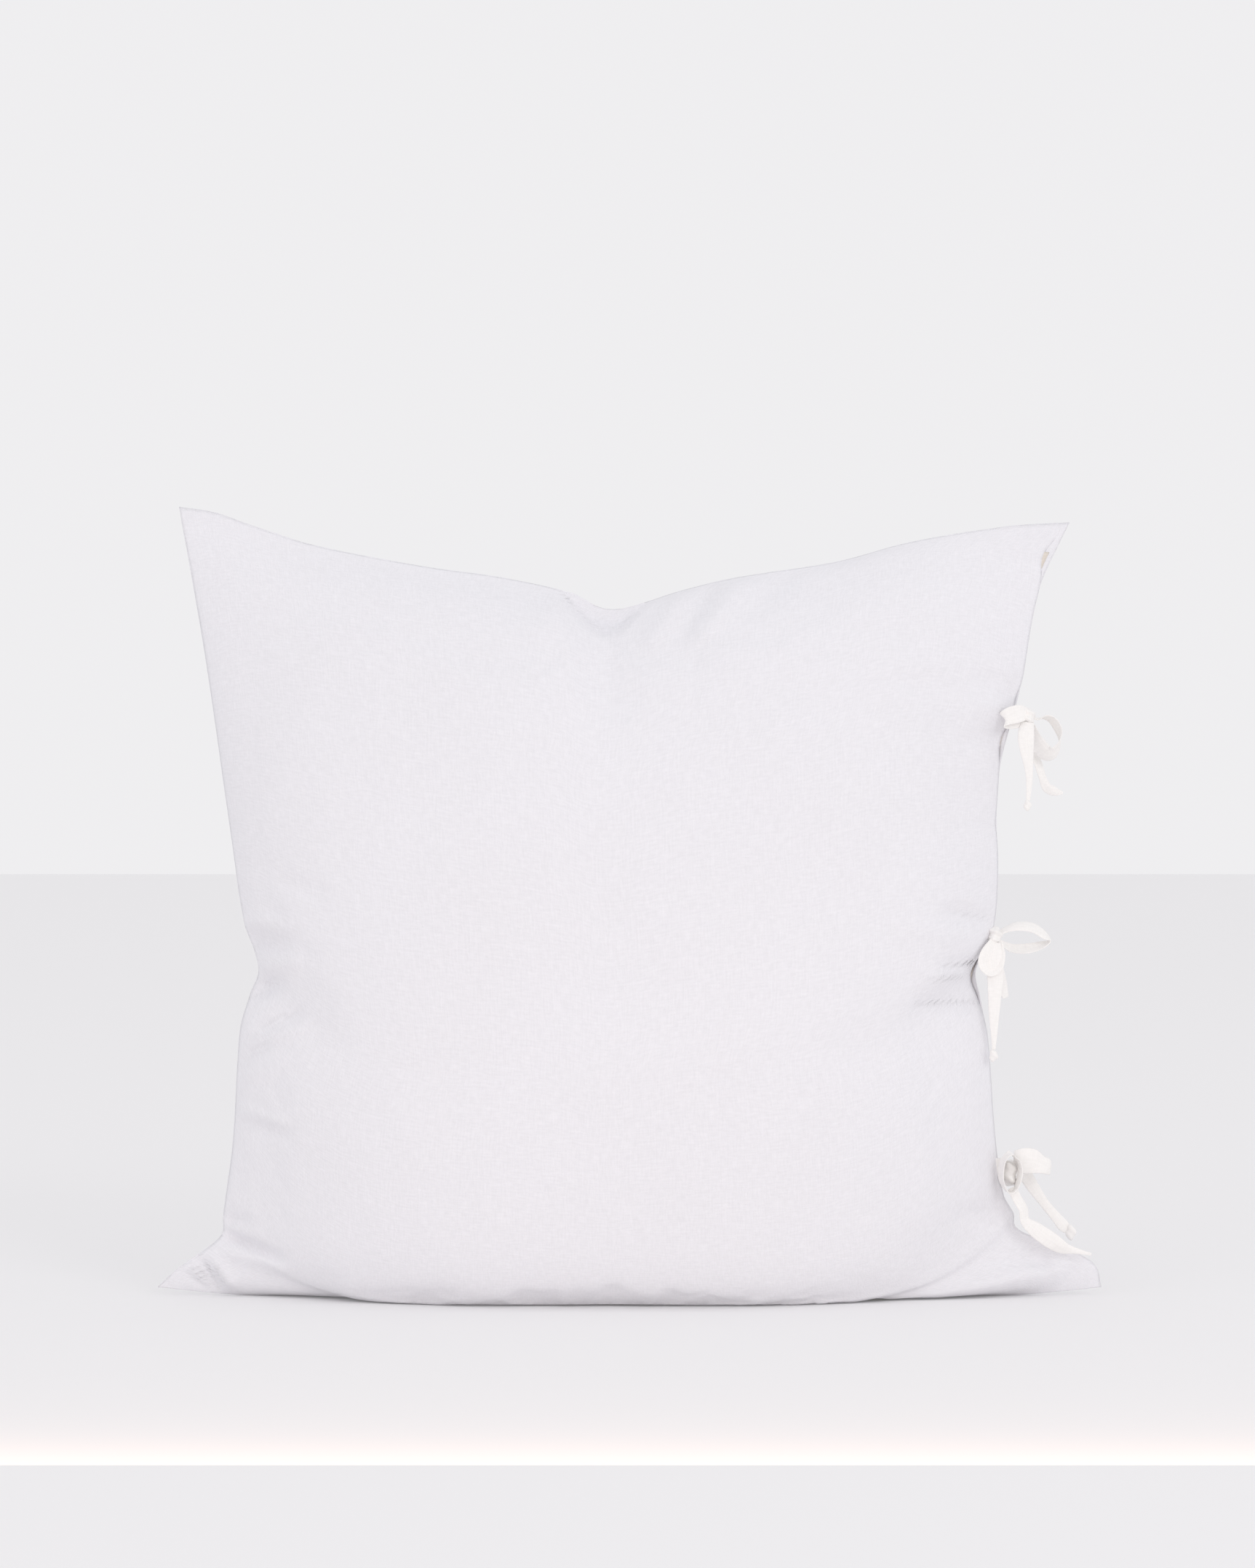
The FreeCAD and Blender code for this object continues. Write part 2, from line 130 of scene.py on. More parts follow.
def along(points, value):
    """Smooth y for a value of x, from a list of (x, y) points in rising x."""
    for number in range(len(points) - 1):
        low, high = points[number], points[number + 1]
        if value <= high[0] or number == len(points) - 2:
            span = high[0] - low[0]
            part = max(0.0, min(1.0, (value - low[0]) / span))
            before = points[max(0, number - 1)]
            after = points[min(len(points) - 1, number + 2)]
            rise_low = (high[1] - before[1]) / max(1e-6, high[0] - before[0]) * span
            rise_high = (after[1] - low[1]) / max(1e-6, after[0] - low[0]) * span
            square, cube = part ** 2, part ** 3
            return ((2 * cube - 3 * square + 1) * low[1]
                    + (cube - 2 * square + part) * rise_low
                    + (3 * square - 2 * cube) * high[1] + (cube - square) * rise_high)


# Height above the floor and reach from the middle, in millimetres, up each side.
LEFT_SIDE = [(7, 333), (19, 320), (34, 299), (44, 288), (57, 287), (110, 280), (188, 275),
             (213, 268), (229, 262), (244, 265), (263, 272), (343, 284), (453, 300),
             (556, 318)]
RIGHT_SIDE = [(8, 332), (24, 327), (34, 310), (48, 274), (60, 270), (73, 263), (117, 257),
              (184, 252), (212, 247), (230, 244), (255, 255), (290, 259), (366, 260),
              (427, 275), (496, 288), (545, 310)]
# Reach from the middle and height, along the top seam.
TOP_SEAM = [(-318, 556), (-293, 552), (-267, 543), (-223, 529), (-146, 514), (-90, 506),
            (-41, 495), (-21, 485), (-7, 484), (9, 488), (37, 497), (75, 506), (145, 517),
            (198, 531), (265, 542), (310, 545)]
# Share of the depth and share of the height, from the bottom seam over the front.
PROFILE = [(0, 0), (0.40, -0.002), (0.72, 0.0), (0.93, 0.05), (1.0, 0.16), (1.0, 0.30),
           (0.95, 0.46), (0.85, 0.62), (0.69, 0.78), (0.44, 0.92), (0, 1)]
HALF_DEPTH = 92
# Every fold's height is multiplied by FOLD_DEPTH.  The folds leave at least the share
# LEAST_DEPTH of the unfolded depth, which keeps the pad from showing through a hollow.
FOLD_DEPTH = 1.3
LEAST_DEPTH = 0.3
# The bottom seam lifts by EAR_LIFT millimetres at the corners, from the share EAR_START.
EAR_START = 0.78
EAR_LIFT = 6
# Height of each side's lowest point, the rise from it to the tip, and the power that
# spaces the rows of cloth up that edge.
LEFT_FOOT, LEFT_RISE = 7, 549
RIGHT_FOOT, RIGHT_RISE = 8, 537
EDGE_EASE = 1.35
# The side of one cut square of cloth, in metres.
CLOTH_SIDE = 0.65


def fold_height(place, fold):
    """Height of one soft fold at a place on the front; a hollow is negative."""
    start, end = Vector(fold[0]), Vector(fold[1])
    width, height = fold[2], fold[3]
    run = end - start
    share = max(0.0, min(1.0, (place - start).dot(run) / run.length_squared))
    distance = (place - (start + run * share)).length
    if distance > 3 * width:
        return 0.0
    taper = 0.45 + 0.55 * math.sin(math.pi * (0.15 + 0.7 * share))
    return FOLD_DEPTH * height * taper * math.exp(-(distance / width) ** 2)


# Each fold: start and end (reach, height), width and height, in millimetres.
FRONT_FOLDS = [
    # beside the dip in the middle of the top
    ((14, 462), (34, 490), 6, 4.0), ((50, 468), (78, 503), 8, 4.0),
    ((34, 462), (56, 496), 6, -3.5), ((86, 480), (112, 508), 8, -2.5),
    ((-62, 470), (-46, 494), 8, 2.5), ((-22, 462), (-12, 420), 14, -4.0),
    # the left waist
    ((-272, 252), (-246, 249), 7, -9.0), ((-270, 213), (-247, 221), 6, -9.0),
    ((-266, 233), (-236, 236), 6, 4.0), ((-274, 263), (-240, 262), 5, 3.0),
    ((-258, 189), (-233, 200), 4, -3.5), ((-258, 182), (-230, 192), 5, 3.0),
    ((-275, 163), (-256, 177), 4, -3.5), ((-276, 150), (-243, 168), 6, 2.5),
    ((-272, 131), (-243, 126), 4, 3.0), ((-272, 122), (-240, 118), 5, -3.0),
    ((-240, 292), (-216, 286), 6, -2.0),
    # the right waist, drawn in by the middle tie
    ((248, 266), (222, 272), 5, -4.0), ((246, 236), (220, 234), 4, -4.0),
    ((246, 224), (205, 226), 5, 3.5), ((244, 207), (200, 208), 4, -3.5),
    ((248, 250), (190, 262), 8, 2.5),
    # the upper tie
    ((272, 412), (244, 414), 6, 3.0), ((270, 398), (236, 390), 7, -3.0),
    ((274, 426), (246, 436), 7, -2.5),
    # the left ear
    ((-284, 43), (-247, 31), 4, -6.0), ((-286, 34), (-246, 22), 6, 3.5),
    ((-287, 53), (-270, 55), 4, -4.0), ((-306, 28), (-292, 7), 4, -6.0),
    ((-298, 31), (-282, 9), 5, 3.5), ((-320, 19), (-298, 5), 3, -4.5),
    ((-312, 24), (-298, 8), 3, 3.0),
    # the right ear
    ((271, 50), (290, 24), 6, -6.0), ((208, 2), (297, 20), 6, 4.0),
    ((264, 62), (232, 58), 7, -3.5), ((302, 32), (264, 26), 6, -2.0),
    ((318, 26), (306, 8), 4, -2.5),
]
# The front folds over itself where the top sags: reach and height of the fold's lip.
DIP_LIP = [(-62, 503), (-50, 493), (-36, 477), (-22, 465), (-9, 466), (3, 476), (16, 491)]
BACK_FOLDS = [
    ((-10, 480), (-6, 436), 16, -15), ((-268, 229), (-225, 232), 7, 5.0),
    ((-266, 250), (-222, 262), 10, -6.0), ((-266, 212), (-230, 210), 9, -6.0),
    ((248, 254), (190, 262), 8, 3.0), ((244, 222), (196, 214), 8, -4.0),
    ((272, 396), (228, 386), 9, -3.5), ((-281, 42), (-243, 30), 7, 4.5),
    ((270, 50), (240, 40), 8, -4.0), ((60, 470), (90, 500), 9, 3.5),
]
# Where the tied side gapes: height of its middle, half height, and how far it opens.
MOUTH_GAPES = [(523, 14, 8), (421, 8, 2.2), (392, 15, 4.5), (334, 10, 1.2), (224, 19, 4.0)]


def gape(height):
    return sum(width * math.exp(-((height - middle) / half) ** 2)
               for middle, half, width in MOUTH_GAPES)


def cover_place(across, up, side, inset):
    """A point of the cover in millimetres.  across is -1 to 1, up is 0 to 1, side is -1
    for the front and +1 for the back, and inset draws the form in for what lies inside."""
    full, share = through(PROFILE, up)
    edge_share = up ** EDGE_EASE
    blend = abs(across) ** 5
    rise = share + (edge_share - share) * blend
    left = -along(LEFT_SIDE, LEFT_FOOT + LEFT_RISE * edge_share)
    right_height = RIGHT_FOOT + RIGHT_RISE * edge_share
    right = along(RIGHT_SIDE, right_height)
    if side < 0:
        right -= gape(right_height)
    else:
        right -= 0.5
    reach = (left + right) / 2 + (right - left) / 2 * across
    bottom_lift = EAR_LIFT * max(0.0, (abs(across) - EAR_START) / (1 - EAR_START)) ** 1.5
    top_left, top_right = TOP_SEAM[0][0], TOP_SEAM[-1][0]
    top = along(TOP_SEAM, (top_left + top_right) / 2 + (top_right - top_left) / 2 * across)
    arch = 9 * max(0.0, 1 - (across / 0.66) ** 2) * (1 - up) ** 6
    height = bottom_lift + (top - bottom_lift) * rise + arch
    power = 0.80 if across > 0 else 0.72
    crown = (1 - abs(across) ** 2.6) ** power
    ear = 1 - 0.55 * blend * (1 - up) ** 8
    depth = HALF_DEPTH * full * crown * ear
    place = Vector((reach, height))
    flattest = LEAST_DEPTH * depth
    for fold in FRONT_FOLDS if side < 0 else BACK_FOLDS:
        depth += fold_height(place, fold) * min(1.0, depth / 6)
    depth = max(depth, flattest)
    if side < 0 and DIP_LIP[0][0] < reach < DIP_LIP[-1][0]:
        behind = max(0.0, min(1.0, (height - along(DIP_LIP, reach)) / 5))
        depth -= behind * min(depth * 0.8, 17)
    slow = Vector((reach * 0.009, height * 0.009, 3.0 * side))
    settle = min(1.0, depth / 25)
    depth += settle * 3.0 * noise.noise(slow)
    if inset == 0:
        quick = Vector((reach * 0.035, height * 0.022, 7.0 * side))
        depth += settle * 0.7 * noise.noise(quick)
        near_edge = math.exp(-((1 - max(abs(across), abs(2 * up - 1) ** 1.5)) / 0.05) ** 2)
        pucker = noise.noise(Vector((reach * 0.09, height * 0.09, 11.0)))
        depth += 1.1 * near_edge * pucker * min(1.0, depth / 5)
    depth = max(0.0, depth - inset)
    gap = 0.25 if inset == 0 else 0.1
    return Vector((reach, side * (gap + depth), max(0.4, height)))


def cloth_grid(columns, rows, width, length):
    """A fresh grid, 2 by 2 about the origin, with a flat map of its cloth in metres."""
    shape = bmesh.new()
    layer = shape.loops.layers.uv.new("cloth")
    bmesh.ops.create_grid(shape, x_segments=columns, y_segments=rows, size=1)
    for face in shape.faces:
        for loop in face.loops:
            place = loop.vert.co
            loop[layer].uv = ((place.x + 1) / 2 * width, (place.y + 1) / 2 * length)
    return shape


def new_piece(name, shape):
    """Turn a finished shape into a smooth piece in the scene."""
    mesh = bpy.data.meshes.new(name)
    shape.to_mesh(mesh)
    shape.free()
    for face in mesh.polygons:
        face.use_smooth = True
    piece = bpy.data.objects.new(name, mesh)
    bpy.context.collection.objects.link(piece)
    return piece


def cover_sheet(name, side, inset, columns, rows):
    """A sheet of cloth laid over one face of the cushion."""
    shape = cloth_grid(columns, rows, CLOTH_SIDE, CLOTH_SIDE)
    for vert in shape.verts:
        across = math.sin(vert.co.x * math.pi / 2) * 0.35 + vert.co.x * 0.65
        up = (vert.co.y + 1) / 2
        if inset:
            across, up = across * 0.93, 0.06 + 0.89 * up
        vert.co = cover_place(across, up, side, inset) * MM
    if side > 0:
        bmesh.ops.reverse_faces(shape, faces=shape.faces)
    return new_piece(name, shape)


# ---------------------------------------------------------------- the linen cloth
# Plain-weave linen, pale cool white: uneven round threads both ways, some of them slubs,
# dull, with a faint cloudiness where the cloth has been washed and handled.
def linen(name, colour, threads_per_metre, bump, shade, slubs):
    material = bpy.data.materials.new(name)
    material.use_nodes = True
    tree = material.node_tree
    nodes, links = tree.nodes, tree.links
    shader = nodes["Principled BSDF"]
    cloth = nodes.new("ShaderNodeUVMap")
    cloth.uv_map = "cloth"
    threads = []
    for turned in (False, True):
        spread = nodes.new("ShaderNodeMapping")
        along_thread, over_thread = 130, threads_per_metre * 0.5
        if turned:
            spread.inputs["Scale"].default_value = (along_thread, over_thread, 1)
        else:
            spread.inputs["Scale"].default_value = (over_thread, along_thread, 1)
        links.new(cloth.outputs["UV"], spread.inputs["Vector"])
        uneven = nodes.new("ShaderNodeTexNoise")
        uneven.noise_dimensions = "2D"
        uneven.inputs["Scale"].default_value = 1
        uneven.inputs["Detail"].default_value = 2
        links.new(spread.outputs["Vector"], uneven.inputs["Vector"])
        thick = nodes.new("ShaderNodeMapping")
        if turned:
            thick.inputs["Scale"].default_value = (30, 420, 1)
        else:
            thick.inputs["Scale"].default_value = (420, 30, 1)
        links.new(cloth.outputs["UV"], thick.inputs["Vector"])
        slub = nodes.new("ShaderNodeTexNoise")
        slub.noise_dimensions = "2D"
        slub.inputs["Scale"].default_value = 1
        slub.inputs["Detail"].default_value = 1
        links.new(thick.outputs["Vector"], slub.inputs["Vector"])
        picked = nodes.new("ShaderNodeMapRange")
        picked.inputs["From Min"].default_value = 0.60
        picked.inputs["From Max"].default_value = 0.78
        picked.inputs["To Max"].default_value = slubs
        links.new(slub.outputs["Fac"], picked.inputs["Value"])
        thread = nodes.new("ShaderNodeMath")
        thread.operation = "ADD"
        links.new(uneven.outputs["Fac"], thread.inputs[0])
        links.new(picked.outputs["Result"], thread.inputs[1])
        threads.append(thread)
    weave = nodes.new("ShaderNodeMath")
    weave.operation = "ADD"
    links.new(threads[0].outputs[0], weave.inputs[0])
    links.new(threads[1].outputs[0], weave.inputs[1])
    tone = nodes.new("ShaderNodeMapRange")
    tone.inputs["From Min"].default_value = 0.7
    tone.inputs["From Max"].default_value = 1.5
    links.new(weave.outputs[0], tone.inputs["Value"])
    cloud = nodes.new("ShaderNodeTexNoise")
    cloud.inputs["Scale"].default_value = 7
    cloud.inputs["Detail"].default_value = 3
    place = nodes.new("ShaderNodeTexCoord")
    links.new(place.outputs["Object"], cloud.inputs["Vector"])
    thread_colour = nodes.new("ShaderNodeMix")
    thread_colour.data_type = "RGBA"
    thread_colour.inputs["A"].default_value = (*[part * shade for part in colour], 1)
    thread_colour.inputs["B"].default_value = (*[min(1, part * 1.03) for part in colour], 1)
    links.new(tone.outputs["Result"], thread_colour.inputs["Factor"])
    worn = nodes.new("ShaderNodeMix")
    worn.data_type = "RGBA"
    worn.blend_type = "MULTIPLY"
    worn.inputs["B"].default_value = (0.965, 0.96, 0.955, 1)
    links.new(cloud.outputs["Fac"], worn.inputs["Factor"])
    links.new(thread_colour.outputs["Result"], worn.inputs["A"])
    links.new(worn.outputs["Result"], shader.inputs["Base Color"])
    dull = nodes.new("ShaderNodeMapRange")
    dull.inputs["To Min"].default_value = 0.97
    dull.inputs["To Max"].default_value = 0.84
    links.new(tone.outputs["Result"], dull.inputs["Value"])
    links.new(dull.outputs["Result"], shader.inputs["Roughness"])
    raised = nodes.new("ShaderNodeBump")
    raised.inputs["Strength"].default_value = 0.55
    raised.inputs["Distance"].default_value = bump
    links.new(weave.outputs[0], raised.inputs["Height"])
    links.new(raised.outputs["Normal"], shader.inputs["Normal"])
    shader.inputs["Sheen Weight"].default_value = 0.12
    shader.inputs["Sheen Roughness"].default_value = 0.5
    shader.inputs["Specular IOR Level"].default_value = 0.25
    return material


cover_linen = linen("cover linen", (0.863, 0.858, 0.894), 1500, 0.00035, 0.965, 0.16)


def finished(piece, thickness, offset, levels, material):
    """Give a sheet its cloth thickness and a smooth subdivided surface."""
    piece.data.materials.append(material)
    if thickness:
        wall = piece.modifiers.new("thickness", "SOLIDIFY")
        wall.thickness = thickness
        wall.offset = offset
    if levels:
        round_off = piece.modifiers.new("smooth", "SUBSURF")
        round_off.levels = levels
        round_off.render_levels = levels


# ---------------------------------------------------------------- cover panels
# Two squares of linen sewn to each other along the left, bottom and top, stretched over
# the pad; the right edges are left open and tied together.
PANEL_CLOTH = 0.0009
MOST_SETTLING = 1.5
SETTLES_FROM = 0.020
SETTLING_FRAMES = 9


def settle(panel):
    """Let the pad push the cloth out for a moment, its sewn and hemmed edges held still,
    so that it puckers along them.  No point moves more than MOST_SETTLING millimetres, and
    cloth less than SETTLES_FROM metres from the plane of the seams stays as it was."""
    lowest = max(0.0015, min(vert.co.z for vert in panel.data.vertices))
    uses = {}
    for face in panel.data.polygons:
        for key in face.edge_keys:
            uses[key] = uses.get(key, 0) + 1
    rim = {number for key, count in uses.items() if count == 1 for number in key}
    resting = {vert.index for vert in panel.data.vertices if vert.co.z < lowest}
    held = panel.vertex_groups.new(name="sewn edge")
    held.add(sorted(rim | resting), 1.0, "REPLACE")
    before = [vert.co.copy() for vert in panel.data.vertices]
    cloth = panel.modifiers.new("cloth", "CLOTH")
    cloth.settings.quality = 4
    cloth.settings.mass = 0.2
    cloth.settings.tension_stiffness = 25
    cloth.settings.compression_stiffness = 25
    cloth.settings.shear_stiffness = 8
    cloth.settings.bending_stiffness = 0.2
    cloth.settings.use_pressure = True
    cloth.settings.uniform_pressure_force = 4
    cloth.settings.shrink_min = -0.02
    cloth.settings.vertex_group_mass = "sewn edge"
    cloth.settings.effector_weights.gravity = 0
    cloth.collision_settings.use_collision = False
    for frame_number in range(1, SETTLING_FRAMES + 1):
        bpy.context.scene.frame_set(frame_number)
    seen = panel.evaluated_get(bpy.context.evaluated_depsgraph_get()).data
    for vert, start, moved in zip(panel.data.vertices, before, seen.vertices):
        step = moved.co - start
        reach = step.length
        if reach > 0:
            limit = MOST_SETTLING * MM
            plump = max(0.0, min(1.0, (abs(start.y) - SETTLES_FROM) / SETTLES_FROM))
            step *= plump * limit * math.tanh(reach / limit) / reach
        vert.co = start + step
        vert.co.z = max(vert.co.z, 0.0004)
    panel.modifiers.remove(cloth)
    panel.vertex_groups.remove(held)
    bpy.context.scene.frame_set(1)


front_panel = cover_sheet("front_cover_panel", -1, 0, 190, 170)
back_panel = cover_sheet("back_cover_panel", 1, 0, 190, 170)
settle(front_panel)
settle(back_panel)
for panel, node in ((front_panel, "front_panel"), (back_panel, "back_panel")):
    finished(panel, PANEL_CLOTH, -1, 0, cover_linen)
    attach(panel, "cushion")
    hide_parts(node)


# ---------------------------------------------------------------- pad inside
# A washable cotton casing of two shells, filled with loose fibre.  Each stands a few
# millimetres inside the cover, so it only shows through the open side.
CASING_INSET = 7
FILLING_INSET = 13
THIN_CLOTH = 0.0008
# Painted shade: the casing cotton is coloured darker and warmer than it is, for the dim
# inside seen through the open side.
casing_cotton_painted_shade = linen("pad casing cotton, painted shade", (0.72, 0.69, 0.64), 1600, 0.0003, 0.86, 0.1)
# Painted shade: the fibre too is coloured darker and warmer than it is, for the same dim
# inside.
filling_fibre_painted_shade = linen("loose fibre", (0.80, 0.78, 0.74), 420, 0.0020, 0.75, 0.6)
for name, side, node in (("front_casing", -1, "pad_front_casing"),
                         ("back_casing", 1, "pad_back_casing")):
    casing = cover_sheet(name, side, CASING_INSET, 90, 80)
    finished(casing, THIN_CLOTH, -1, 0, casing_cotton_painted_shade)
    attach(casing, "cushion")
    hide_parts(node)


def closed_form(name, inset, columns, rows):
    """Both faces of a form, joined into one closed skin."""
    halves = [cover_sheet(name, side, inset, columns, rows) for side in (-1, 1)]
    shape = bmesh.new()
    for half in halves:
        shape.from_mesh(half.data)
    bmesh.ops.remove_doubles(shape, verts=shape.verts, dist=0.0008)
    bmesh.ops.recalc_face_normals(shape, faces=shape.faces)
    shape.to_mesh(halves[0].data)
    shape.free()
    bpy.data.objects.remove(halves[1])
    return halves[0]


filling = closed_form("fibre_filling", FILLING_INSET, 60, 50)
filling.data.materials.append(filling_fibre_painted_shade)
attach(filling, "cushion")
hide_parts("pad_filling")


# ---------------------------------------------------------------- seams
# The panels are sewn right sides together and turned out, so each seam shows as a fine
# rolled edge with its allowance inside.  The thread pulls it in every few millimetres.
ROLL_RADIUS = 0.7
ROLL_SET_IN = 0.6
seam_cloth = linen("seam linen", (0.876, 0.871, 0.907), 1500, 0.0003, 0.965, 0.1)


def edge_place(edge, share):
    """A point of the sewn outline, in millimetres, at a share of that edge's length."""
    across, up = {"top": (2 * share - 1, 1), "bottom": (2 * share - 1, 0),
                  "left": (-1, share)}[edge]
    return (cover_place(across, up, -1, 0) + cover_place(across, up, 1, 0)) / 2


def rolled_edge(name, edge, steps, radius):
    """A thin roll of cloth along one sewn edge, a little uneven at each stitch."""
    shape = cloth_grid(8, steps, 2 * math.pi * radius * MM, CLOTH_SIDE)
    for vert in shape.verts:
        share = (vert.co.y + 1) / 2
        before = edge_place(edge, max(0, share - 0.002))
        after = edge_place(edge, min(1, share + 0.002))
        centre = edge_place(edge, share)
        run = (after - before).normalized()
        out = Vector((0, 1, 0)).cross(run).normalized() * (1 if edge == "bottom" else -1)
        turn = vert.co.x * math.pi
        stitch = 1 + 0.05 * math.sin(share * steps * 1.6) \
            + 0.15 * noise.noise(Vector((share * 40, 3, 0)))
        ends = min(1.0, 0.25 + min(share, 1 - share) / 0.02)
        across = Vector((0, 1, 0)) * math.cos(turn) * 0.75 + out * math.sin(turn)
        wander = out * 0.25 * noise.noise(Vector((share * 24, 9, 0)))
        vert.co = (centre - out * ROLL_SET_IN + wander
                   + across * radius * stitch * ends) * MM
        vert.co.z = max(vert.co.z, 0.0002)
    bmesh.ops.remove_doubles(shape, verts=shape.verts, dist=0.00001)
    bmesh.ops.holes_fill(shape, edges=shape.edges)
    bmesh.ops.recalc_face_normals(shape, faces=shape.faces)
    return new_piece(name, shape)


for edge in ("top", "left", "bottom"):
    roll = rolled_edge(edge + "_seam_roll", edge, 260, ROLL_RADIUS)
    roll.data.materials.append(seam_cloth)
    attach(roll, "cushion")
    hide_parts(edge + "_seam")


# ---------------------------------------------------------------- hems of the open side
# Each panel's open edge is turned under twice and stitched, which leaves a narrow band
# inside the mouth and a soft folded lip.
HEM_WIDTH = 22
HEM_LENGTH = 0.62
HEM_SET_IN = 3.2
HEM_START = 0.988
HALF_REACH = 290
# Painted shade: the hem is the panels' own linen, coloured darker and warmer here for the
# dim inside of the gaping mouth.
hem_cloth_painted_shade = linen("hem linen, painted shade", (0.78, 0.72, 0.65), 1500, 0.0003, 0.95, 0.15)


def hem_band(name, side, steps, width):
    """A strip lying against the inside of one panel along its open edge."""
    shape = cloth_grid(14, steps, width * MM, HEM_LENGTH)
    for vert in shape.verts:
        share = 0.03 + 0.94 * (vert.co.y + 1) / 2
        inward = (1 - vert.co.x) / 2
        across = HEM_START - inward * width / HALF_REACH
        place = cover_place(across, share, side, 0)
        place.y -= side * min(abs(place.y) * 0.9, HEM_SET_IN)
        vert.co = place * MM
    if side > 0:
        bmesh.ops.reverse_faces(shape, faces=shape.faces)
    return new_piece(name, shape)


for side, face in ((-1, "front"), (1, "back")):
    band = hem_band(face + "_hem_band", side, 300, HEM_WIDTH)
    finished(band, THIN_CLOTH, 0, 0, hem_cloth_painted_shade)
    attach(band, "cushion")
    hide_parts(face + "_opening_hem")


# ---------------------------------------------------------------- bow ties
# Three pairs of self-fabric tapes sewn to the open edges and tied in soft bows: a strap
# from each panel, a lumpy knot, two loops and two tails with a small overhand end knot.
TAPE_CLOTH = 0.0009
STRAP_WIDTH = 0.012
tie_linen = linen("tie linen", (0.95, 0.936, 0.92), 1700, 0.00012, 0.98, 0.08)


def ribbon(name, points, widths, turns, steps, cup=0.0, upright=False):
    """A tape along a smooth path.  points are (x, y, z) in metres, widths in metres, and
    turns in degrees, the tape's lean from lying across the depth of the cushion, or from
    standing on edge when upright.  cup is the depth of its hollow, as a
    share of its width."""
    shape = bmesh.new()
    layer = shape.loops.layers.uv.new("cloth")
    bmesh.ops.create_grid(shape, x_segments=6, y_segments=steps, size=1)
    path = [Vector(point) for point in points]
    length = sum((after - before).length for before, after in zip(path, path[1:]))
    for face in shape.faces:
        for loop in face.loops:
            loop[layer].uv = (loop.vert.co.x * 0.006, (loop.vert.co.y + 1) / 2 * length)
    for vert in shape.verts:
        share = (vert.co.y + 1) / 2
        centre = through(path, share)
        run = (through(path, min(1, share + 0.01)) - through(path, max(0, share - 0.01)))
        run.normalize()
        level = Vector((0, 0, 1)) if upright else Vector((0, 1, 0))
        flat = level - run * run.dot(level)
        flat = flat.normalized() if flat.length > 0.05 else Vector((1, 0, 0))
        lean = through([Vector((turn, 0, 0)) for turn in turns], share).x
        flat = Matrix.Rotation(math.radians(lean), 3, run) @ flat
        face_out = run.cross(flat)
        width = max(0.002, through([Vector((wide, 0, 0)) for wide in widths], share).x)
        side = vert.co.x
        curl = -cup * (side ** 2 - 0.4) * width
        ripple = 0.0004 * noise.noise(Vector((share * 9, side * 1.5, length * 300)))
        vert.co = centre + flat * (side * width / 2) + face_out * (curl + ripple)
    piece = new_piece(name, shape)
    finished(piece, TAPE_CLOTH, 0, 1, tie_linen)
    return piece, length


def end_knot(piece, place, size, seed):
    """A small overhand knot at a tape's end, added to the tape's own mesh."""
    shape = bmesh.new()
    shape.from_mesh(piece.data)
    made = bmesh.ops.create_uvsphere(shape, u_segments=14, v_segments=10, radius=size)
    for vert in made["verts"]:
        lump = 1 + 0.22 * math.sin(vert.co.x / size * 3 + vert.co.z / size * 4 + seed)
        vert.co = Vector((vert.co.x * 0.82, vert.co.y * 0.9, vert.co.z * 1.15)) * lump
        vert.co += Vector(place)
    shape.to_mesh(piece.data)
    shape.free()
    for face in piece.data.polygons:
        face.use_smooth = True


def knot_ball(name, centre, half, seed):
    """The tied knot: a gathered ball of tape with folds running round it."""
    shape = bmesh.new()
    layer = shape.loops.layers.uv.new("cloth")
    bmesh.ops.create_uvsphere(shape, u_segments=40, v_segments=28, radius=1)
    for face in shape.faces:
        for loop in face.loops:
            loop[layer].uv = (loop.vert.co.x * 0.006, loop.vert.co.z * 0.006)
    for vert in shape.verts:
        way = vert.co.copy()
        wrap = math.sin(6.5 * way.z + 2.2 * way.x + 1.5 * way.y + seed)
        lump = 1 + 0.13 * wrap + 0.12 * noise.noise(way * 1.6 + Vector((seed, 0, 0)))
        stretched = Vector((way.x * half[0], way.y * half[1], way.z * half[2]))
        vert.co = centre + stretched * lump
    piece = new_piece(name, shape)
    finished(piece, 0, 0, 1, tie_linen)
    return piece


